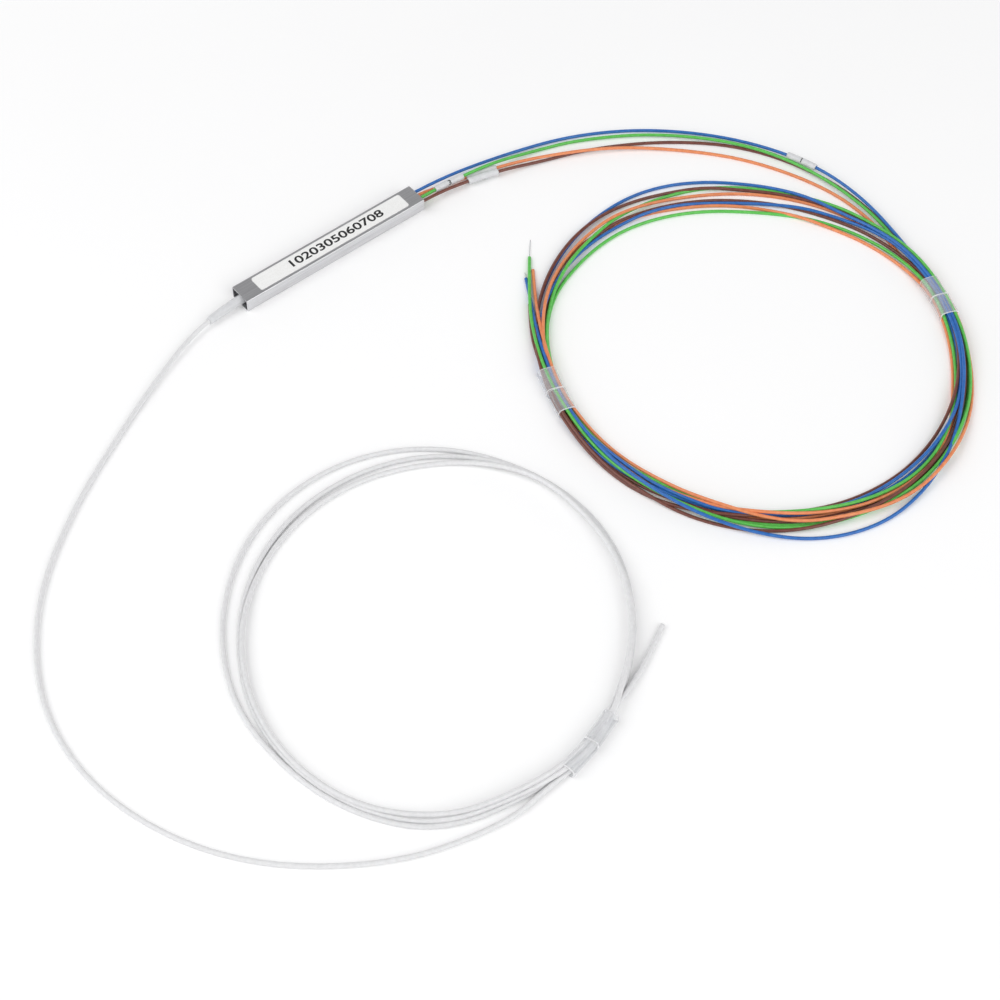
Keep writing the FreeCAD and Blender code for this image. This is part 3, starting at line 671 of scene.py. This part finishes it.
def printed_sleeve(name, body, line, middle, diameter, facing):
    """Figures printed round a sleeve, reading along it. facing is where round the tube they are."""
    mesh = text_mesh(body, FIGURE_HEIGHT, FIGURE_WEIGHT)
    shape = bmesh.new()
    shape.from_mesh(mesh)
    bpy.data.meshes.remove(mesh)
    bmesh.ops.triangulate(shape, faces=shape.faces)
    bmesh.ops.subdivide_edges(shape, edges=shape.edges, cuts=2, use_grid_fill=True)
    lift = diameter / 2 * FIGURE_LIFT
    probe = 0.0001
    for vertex in shape.verts:
        here, _, side, up = stations(line, middle + vertex.co.x, probe, 2)[0]
        turn = facing + vertex.co.y / lift
        vertex.co = here + side * (lift * math.cos(turn)) + up * (lift * math.sin(turn))
    vertices = [vertex.co.copy() for vertex in shape.verts]
    faces = [[vertex.index for vertex in face.verts] for face in shape.faces]
    shape.free()
    return mesh_piece(name, vertices, faces, "sleeve_white", print_ink, smooth=False)


TIP_STEPS = 8
TIP_LEAN = 0.03
TIP_CLOSED = 0.05


def bare_tip(name, line, length):
    """Coated fibre that stands out of a tube's cut end, a little bent."""
    step_back = 1e-5
    middle, along, side, up = stations(line, line_length(line) - step_back, step_back, 2)[1]
    sections = []
    for k in range(TIP_STEPS + 1):
        share = k / TIP_STEPS
        place = middle + along * (length * share) + side * (TIP_LEAN * length * share**2)
        sections.append(((place, along, side, up), FIBRE_DIAMETER / 2))
    ends = [(sections[k][0], FIBRE_DIAMETER * TIP_CLOSED) for k in (-1, 0)]
    return lathe_along(name, sections + ends, "fibre_coating", segments=12)


# Lengths of the bare fibre tips, places of the marker sleeves along their tubes, and where round
# the tube their figures face in degrees
BARE_TIPS = {1: 0.0022, 3: 0.0069}
CUT_ENDS = (0, 2, 4)
SLEEVE_WALL = 0.0003
MARKER_LENGTH = 0.0092
MARKER_DIAMETER = 0.0019
MARKER_STARTS = {1: 0.1186, 2: 0.0206, 3: 0.0099, 4: 0.0195}
MARKER_FACINGS = {1: 55, 2: 150, 3: 48, 4: -60}
INPUT_SLEEVE_START = 0.0052
INPUT_SLEEVE_LENGTH = 0.0124
INPUT_SLEEVE_TAPER = 0.2
INPUT_SLEEVE_DIAMETER = 0.0027

on_tube = {port: [] for port in tubes}
for port, start in MARKER_STARTS.items():
    marker = sleeve(
        f"marker_{port}", lines[port], start, MARKER_LENGTH, MARKER_DIAMETER, SLEEVE_WALL
    )
    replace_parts(marker, f"marker_sleeve_{port}")
    figure = printed_sleeve(
        f"marker_{port}_figure", str(port), lines[port], start + MARKER_LENGTH / 2, MARKER_DIAMETER,
        math.radians(MARKER_FACINGS[port]),
    )
    on_tube[port] += [marker, figure]
input_marker = sleeve(
    "input_marker", lines[0], INPUT_SLEEVE_START, INPUT_SLEEVE_LENGTH, INPUT_SLEEVE_DIAMETER,
    SLEEVE_WALL, INPUT_SLEEVE_TAPER,
)
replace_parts(input_marker, "input_sleeve")
on_tube[0].append(input_marker)

for port, tube in tubes.items():
    slot_name = "tube_white" if port == 0 else f"tube_{COLOURS[port]}"
    piece(tube, slot_name)
    if port in CUT_ENDS:
        on_tube[port] += cut_end(f"tube_{port}_end", lines[port], DIAMETERS[port], slot_name)
    if port == 0:
        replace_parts(tube, "input_lead", "input_coil", "input_tail")
    else:
        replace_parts(tube, f"output_{port}_lead", f"output_{port}_tail", "output_coil")
for port, length in BARE_TIPS.items():
    tip = bare_tip(f"output_{port}_fibre_tip", lines[port], length)
    on_tube[port].append(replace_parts(tip, f"output_{port}_bare_tip"))

# ---- Wraps round the coils ----------------------------------------------------------------

# The two parts of a wrap: side of its middle, turn in degrees and shift outwards
WRAP_PARTS = ((-1, 2.5, 0.0001), (1, -1.5, -0.0001))
WRAP_BEND_RADIUS = 0.054
WRAP_GAP = 0.00012

# Section of a part: a rounded rectangle, rounder as the exponent nears 1, with this many corners
WRAP_EXPONENT = 0.62
WRAP_SEGMENTS = 48

# Rows of a part: place along it, size against the outer size, and how many walls further in. It
# waists in a little at the middle. The faces from each rim row to the next row are its thick rims,
# whiter and less clear than the film: partly the film seen edge-on, partly painted highlight.
WRAP_ROWS = (
    (-1.0, 0.97, 0), (-0.955, 1.0, 0), (-0.5, 0.985, 0), (0.0, 0.98, 0), (0.5, 0.985, 0),
    (0.955, 1.0, 0), (1.0, 0.97, 0), (1.0, 1.0, 1), (0.0, 0.98, 1), (-1.0, 1.0, 1),
)
WRAP_RIM_ROWS = (0, 5, 6, 9)


def wrap_ring(name, bend, facing, side, turn, shift, width, height, length):
    """One of the two short lengths of clear tube of a wrap, straight, with thick open ends whose rims
    carry partly painted highlight.
    """
    run = side * length / 4
    heading = facing + run / WRAP_BEND_RADIUS
    middle = bend + Vector((math.cos(heading), math.sin(heading), 0)) * (WRAP_BEND_RADIUS + shift)
    turned = heading + math.radians(turn)
    outward = Vector((math.cos(turned), math.sin(turned), 0))
    along = Vector((-math.sin(turned), math.cos(turned), 0))
    half_length = length / 4 - WRAP_GAP / 2
    vertices = []
    for place, size, inner in WRAP_ROWS:
        half_width = width / 2 * size - WRAP_WALL * inner
        half_height = height / 2 * size - WRAP_WALL * inner
        for k in range(WRAP_SEGMENTS):
            angle = 2 * math.pi * k / WRAP_SEGMENTS
            cos, sin = math.cos(angle), math.sin(angle)
            out = half_width * math.copysign(abs(cos) ** WRAP_EXPONENT, cos)
            rise = half_height * math.copysign(abs(sin) ** WRAP_EXPONENT, sin)
            point = middle + outward * out + along * (place * half_length)
            vertices.append((point.x, point.y, height / 2 + rise))
    made = mesh_piece(name, vertices, ring_faces(len(WRAP_ROWS), WRAP_SEGMENTS), "clear_wrap")
    # The rims get the whiter material, which is partly painted highlight.
    made.data.materials.append(materials["wrap_rim_highlight"])
    for face in made.data.polygons:
        if face.index // WRAP_SEGMENTS in WRAP_RIM_ROWS:
            face.material_index = 1
    return made


def wrap(name, centre, angle, distance, skew, width, height, length):
    """Two short lengths of clear tube side by side round a bundle, a little askew to each other."""
    place = math.radians(angle)
    facing = math.radians(angle + skew)
    middle = centre + Vector((math.cos(place), math.sin(place), 0)) * distance
    bend = middle - Vector((math.cos(facing), math.sin(facing), 0)) * WRAP_BEND_RADIUS
    for index, (side, turn, shift) in enumerate(WRAP_PARTS):
        made = wrap_ring(
            f"{name}_part_{index + 1}", bend, facing, side, turn, shift, width, height, length
        )
        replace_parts(made, name)


for wrap_name, wrap_shape in WRAPS.items():
    wrap(wrap_name, **wrap_shape)

# ---- Print on the label -------------------------------------------------------------------

LABEL_FIGURES = "1020305060708"
LABEL_FIGURE_HEIGHT = 0.0028
LABEL_FIGURE_WEIGHT = 0.02
LABEL_PRINT_LENGTH = 0.031
LABEL_PRINT_SHIFT = 0.0016
LABEL_PRINT_LIFT = 0.00001

low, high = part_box("label")
print_x = (low[0] + high[0]) / 2 + LABEL_PRINT_SHIFT
print_y = (low[1] + high[1]) / 2
print_z = high[2] + LABEL_PRINT_LIFT
figures = text_mesh(LABEL_FIGURES, LABEL_FIGURE_HEIGHT, LABEL_FIGURE_WEIGHT)
places_x = [vertex.co.x for vertex in figures.vertices]
stretch = LABEL_PRINT_LENGTH / (max(places_x) - min(places_x))
mesh_piece(
    "label_print",
    [(print_x + v.co.x * stretch, print_y + v.co.y, print_z) for v in figures.vertices],
    [list(face.vertices) for face in figures.polygons],
    "label_paper", print_ink, smooth=False,
)

# ---- Floor, light and background ----------------------------------------------------------

FLOOR_HALF = 1.5
FLOOR_GLOW = 0.07
FLOOR_GLOW_START = 0.25
FLOOR_FAR_GLOW = 0.7
FLOOR_CORNERS = ((-1, -1), (1, -1), (1, 1), (-1, 1))

# The sky is white up to one height and reaches its grey at another, as shares of straight up.
SKY_WHITE_BELOW = 0.1
SKY_GREY_ABOVE = 0.75
SKY_GREY = (0.3, 0.3, 0.305, 1)
WHITE = (1, 1, 1, 1)

# Lights: place, size and power in watts
LIGHTS = {"key": ((-0.75, 0.3, 1.0), 1.0, 7.5), "fill": ((0.1, -1.1, 0.95), 1.0, 7.5)}


def glow(material):
    """Makes the floor a little brighter than the lamps do, so that it is white and still takes the
    object's shadow. Only the camera, mirrors and clear plastic see that. The lamps reach the floor
    less away from the object, and the glow grows there to make up for it."""
    nodes = material.node_tree.nodes
    links = material.node_tree.links
    rays = nodes.new("ShaderNodeLightPath")
    seen = rays.outputs["Is Camera Ray"]
    for kind in ("Is Glossy Ray", "Is Transmission Ray"):
        either = nodes.new("ShaderNodeMath")
        either.operation = "MAXIMUM"
        links.new(seen, either.inputs[0])
        links.new(rays.outputs[kind], either.inputs[1])
        seen = either.outputs["Value"]
    place = nodes.new("ShaderNodeTexCoord")
    distance = nodes.new("ShaderNodeVectorMath")
    distance.operation = "LENGTH"
    links.new(place.outputs["Object"], distance.inputs[0])
    spread = nodes.new("ShaderNodeMapRange")
    spread.inputs["From Min"].default_value = FLOOR_GLOW_START
    spread.inputs["From Max"].default_value = FLOOR_HALF
    spread.inputs["To Min"].default_value = FLOOR_GLOW
    spread.inputs["To Max"].default_value = FLOOR_FAR_GLOW
    links.new(distance.outputs["Value"], spread.inputs["Value"])
    strength = nodes.new("ShaderNodeMath")
    strength.operation = "MULTIPLY"
    links.new(seen, strength.inputs[0])
    links.new(spread.outputs["Result"], strength.inputs[1])
    shader = nodes["Principled BSDF"]
    shader.inputs["Emission Color"].default_value = WHITE
    links.new(strength.outputs["Value"], shader.inputs["Emission Strength"])


def sky():
    """A sky that is white at the horizon and grey overhead."""
    world = bpy.data.worlds.new("studio")
    bpy.context.scene.world = world
    world.use_nodes = True
    nodes = world.node_tree.nodes
    links = world.node_tree.links
    place = nodes.new("ShaderNodeTexCoord")
    split = nodes.new("ShaderNodeSeparateXYZ")
    ramp = nodes.new("ShaderNodeValToRGB")
    ramp.color_ramp.elements[0].position = SKY_WHITE_BELOW
    ramp.color_ramp.elements[0].color = WHITE
    ramp.color_ramp.elements[1].position = SKY_GREY_ABOVE
    ramp.color_ramp.elements[1].color = SKY_GREY
    links.new(place.outputs["Generated"], split.inputs["Vector"])
    links.new(split.outputs["Z"], ramp.inputs["Fac"])
    background = nodes["Background"]
    links.new(ramp.outputs["Color"], background.inputs["Color"])
    background.inputs["Strength"].default_value = 1.0


def area_light(name, place, size, power):
    """A square light that faces what the camera looks at."""
    light = bpy.data.lights.new(name, "AREA")
    light.size = size
    light.energy = power
    made = bpy.data.objects.new(name, light)
    made.location = place
    made.rotation_euler = (CAMERA_TARGET - Vector(place)).to_track_quat("-Z", "Y").to_euler()
    bpy.context.scene.collection.objects.link(made)


floor_mesh = bpy.data.meshes.new("floor")
floor_corners = [(x * FLOOR_HALF, y * FLOOR_HALF, 0) for x, y in FLOOR_CORNERS]
floor_mesh.from_pydata(floor_corners, [], [(0, 1, 2, 3)])
floor = bpy.data.objects.new("floor", floor_mesh)
bpy.context.scene.collection.objects.link(floor)
floor_material = surface(
    "floor", srgb(250, 250, 250), srgb(252, 252, 252), (6, 6, 6), (0.85, 0.95), 0.0,
    Specular_IOR_Level=0.0,
)
glow(floor_material)
floor.data.materials.append(floor_material)

sky()
for light_name, (light_place, light_size, light_power) in LIGHTS.items():
    area_light(light_name, light_place, light_size, light_power)

bpy.context.scene.view_settings.view_transform = "Standard"
